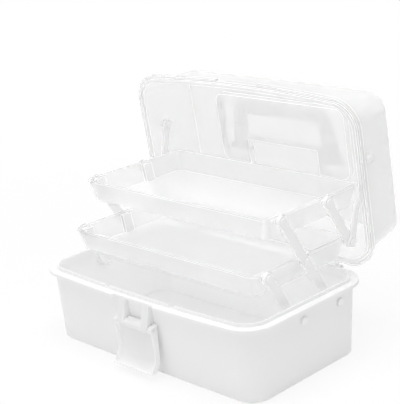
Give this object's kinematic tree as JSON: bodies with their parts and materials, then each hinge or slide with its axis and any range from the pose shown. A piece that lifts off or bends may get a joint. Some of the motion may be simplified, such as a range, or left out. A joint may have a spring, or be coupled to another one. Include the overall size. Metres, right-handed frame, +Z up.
{
  "type": "fold-out storage box",
  "caption": "Translucent plastic storage box with a hinged lid, stacked trays that swing out on side arms, a fold-down carrying handle and a hook latch.",
  "frame": {"origin": "centre of the bin's underside, in the plane it stands on", "axes": "+X to the box's right along its length, +Y from the latch side to the hinge side, +Z up; drawn with the lid open and the trays out"},
  "size_m": [0.33, 0.2789, 0.2826],
  "materials": {
    "clear_frosted_plastic": "frosted translucent",
    "white_plastic": "satin, slightly translucent",
    "arm_plastic": "frosted translucent",
    "pin_plastic": "smooth"
  },
  "bodies": {
    "bin_body": {"bin": "white_plastic", "latch_pin": "pin_plastic", "short_arm_foot_pin_left": "pin_plastic", "short_arm_foot_pin_right": "pin_plastic", "long_arm_foot_pin_left": "pin_plastic", "long_arm_foot_pin_right": "pin_plastic", "hinge_pin_left": "pin_plastic", "hinge_pin_right": "pin_plastic"},
    "lid_body": {"lid": "clear_frosted_plastic", "lid_link_pin_left": "pin_plastic", "lid_link_pin_right": "pin_plastic", "handle_pin_left": "pin_plastic", "handle_pin_right": "pin_plastic"},
    "handle_body": {"handle": "clear_frosted_plastic"},
    "latch_body": {"latch": "white_plastic"},
    "short_arms": {"short_arm_left": "arm_plastic", "short_arm_right": "arm_plastic"},
    "long_arms": {"long_arm_left": "arm_plastic", "long_arm_right": "arm_plastic"},
    "rear_arms": {"rear_arm_left": "arm_plastic", "rear_arm_right": "arm_plastic"},
    "lid_links": {"lid_link_left": "arm_plastic", "lid_link_right": "arm_plastic"},
    "lower_tray_body": {"lower_tray": "clear_frosted_plastic", "short_arm_tray_pin_left": "pin_plastic", "short_arm_tray_pin_right": "pin_plastic", "long_arm_lower_pin_left": "pin_plastic", "long_arm_lower_pin_right": "pin_plastic", "rear_pivot_pin_left": "pin_plastic", "rear_pivot_pin_right": "pin_plastic"},
    "upper_tray_body": {"upper_tray": "clear_frosted_plastic", "long_arm_upper_pin_left": "pin_plastic", "long_arm_upper_pin_right": "pin_plastic", "rear_arm_upper_pin_left": "pin_plastic", "rear_arm_upper_pin_right": "pin_plastic"}
  },
  "joints": [
    {"name": "lid_hinge", "type": "hinge", "parent": "bin_body", "child": "lid_body", "pos_m": [0, 0.1002, 0.0823], "axis": [1, 0, 0], "range_deg": [0, 82.8]},
    {"name": "long_arm_swing", "type": "hinge", "parent": "bin_body", "child": "long_arms", "pos_m": [0, 0.049, 0.0685], "axis": [1, 0, 0], "range_deg": [0, 32.3]},
    {"name": "short_arm_swing", "type": "hinge", "parent": "bin_body", "child": "short_arms", "pos_m": [0, -0.0097, 0.0685], "axis": [1, 0, 0], "range_deg": [0, 32.3]},
    {"name": "lower_tray_pivot", "type": "hinge", "parent": "long_arms", "child": "lower_tray_body", "pos_m": [0, 0.01587, 0.12091], "axis": [1, 0, 0], "range_deg": [-32.3, 0]},
    {"name": "upper_tray_pivot", "type": "hinge", "parent": "long_arms", "child": "upper_tray_body", "pos_m": [0, -0.01726, 0.17331], "axis": [1, 0, 0], "range_deg": [-32.3, 0]},
    {"name": "rear_arm_swing", "type": "hinge", "parent": "lower_tray_body", "child": "rear_arms", "pos_m": [0, 0.08857, 0.12091], "axis": [1, 0, 0], "range_deg": [0, 32.3]},
    {"name": "lid_link_swing", "type": "hinge", "parent": "lid_body", "child": "lid_links", "pos_m": [0, 0.11049, 0.20909], "axis": [1, 0, 0], "range_deg": [0, 13.3]},
    {"name": "latch_hinge", "type": "hinge", "parent": "bin_body", "child": "latch_body", "pos_m": [0, -0.0995, 0.0565], "axis": [-1, 0, 0], "range_deg": [0, 178]},
    {"name": "handle_hinge", "type": "hinge", "parent": "lid_body", "child": "handle_body", "pos_m": [0, 0.15715, 0.18041], "axis": [-1, 0, 0], "range_deg": [0, 90]}
  ],
  "couplings": [
    {"joint": "long_arm_swing", "follows": "lid_hinge", "ratio": 0.39},
    {"joint": "short_arm_swing", "follows": "lid_hinge", "ratio": 0.39},
    {"joint": "lower_tray_pivot", "follows": "lid_hinge", "ratio": -0.39},
    {"joint": "upper_tray_pivot", "follows": "lid_hinge", "ratio": -0.39},
    {"joint": "rear_arm_swing", "follows": "lid_hinge", "ratio": 0.39},
    {"joint": "lid_link_swing", "follows": "lid_hinge", "ratio": 0.16}
  ]
}
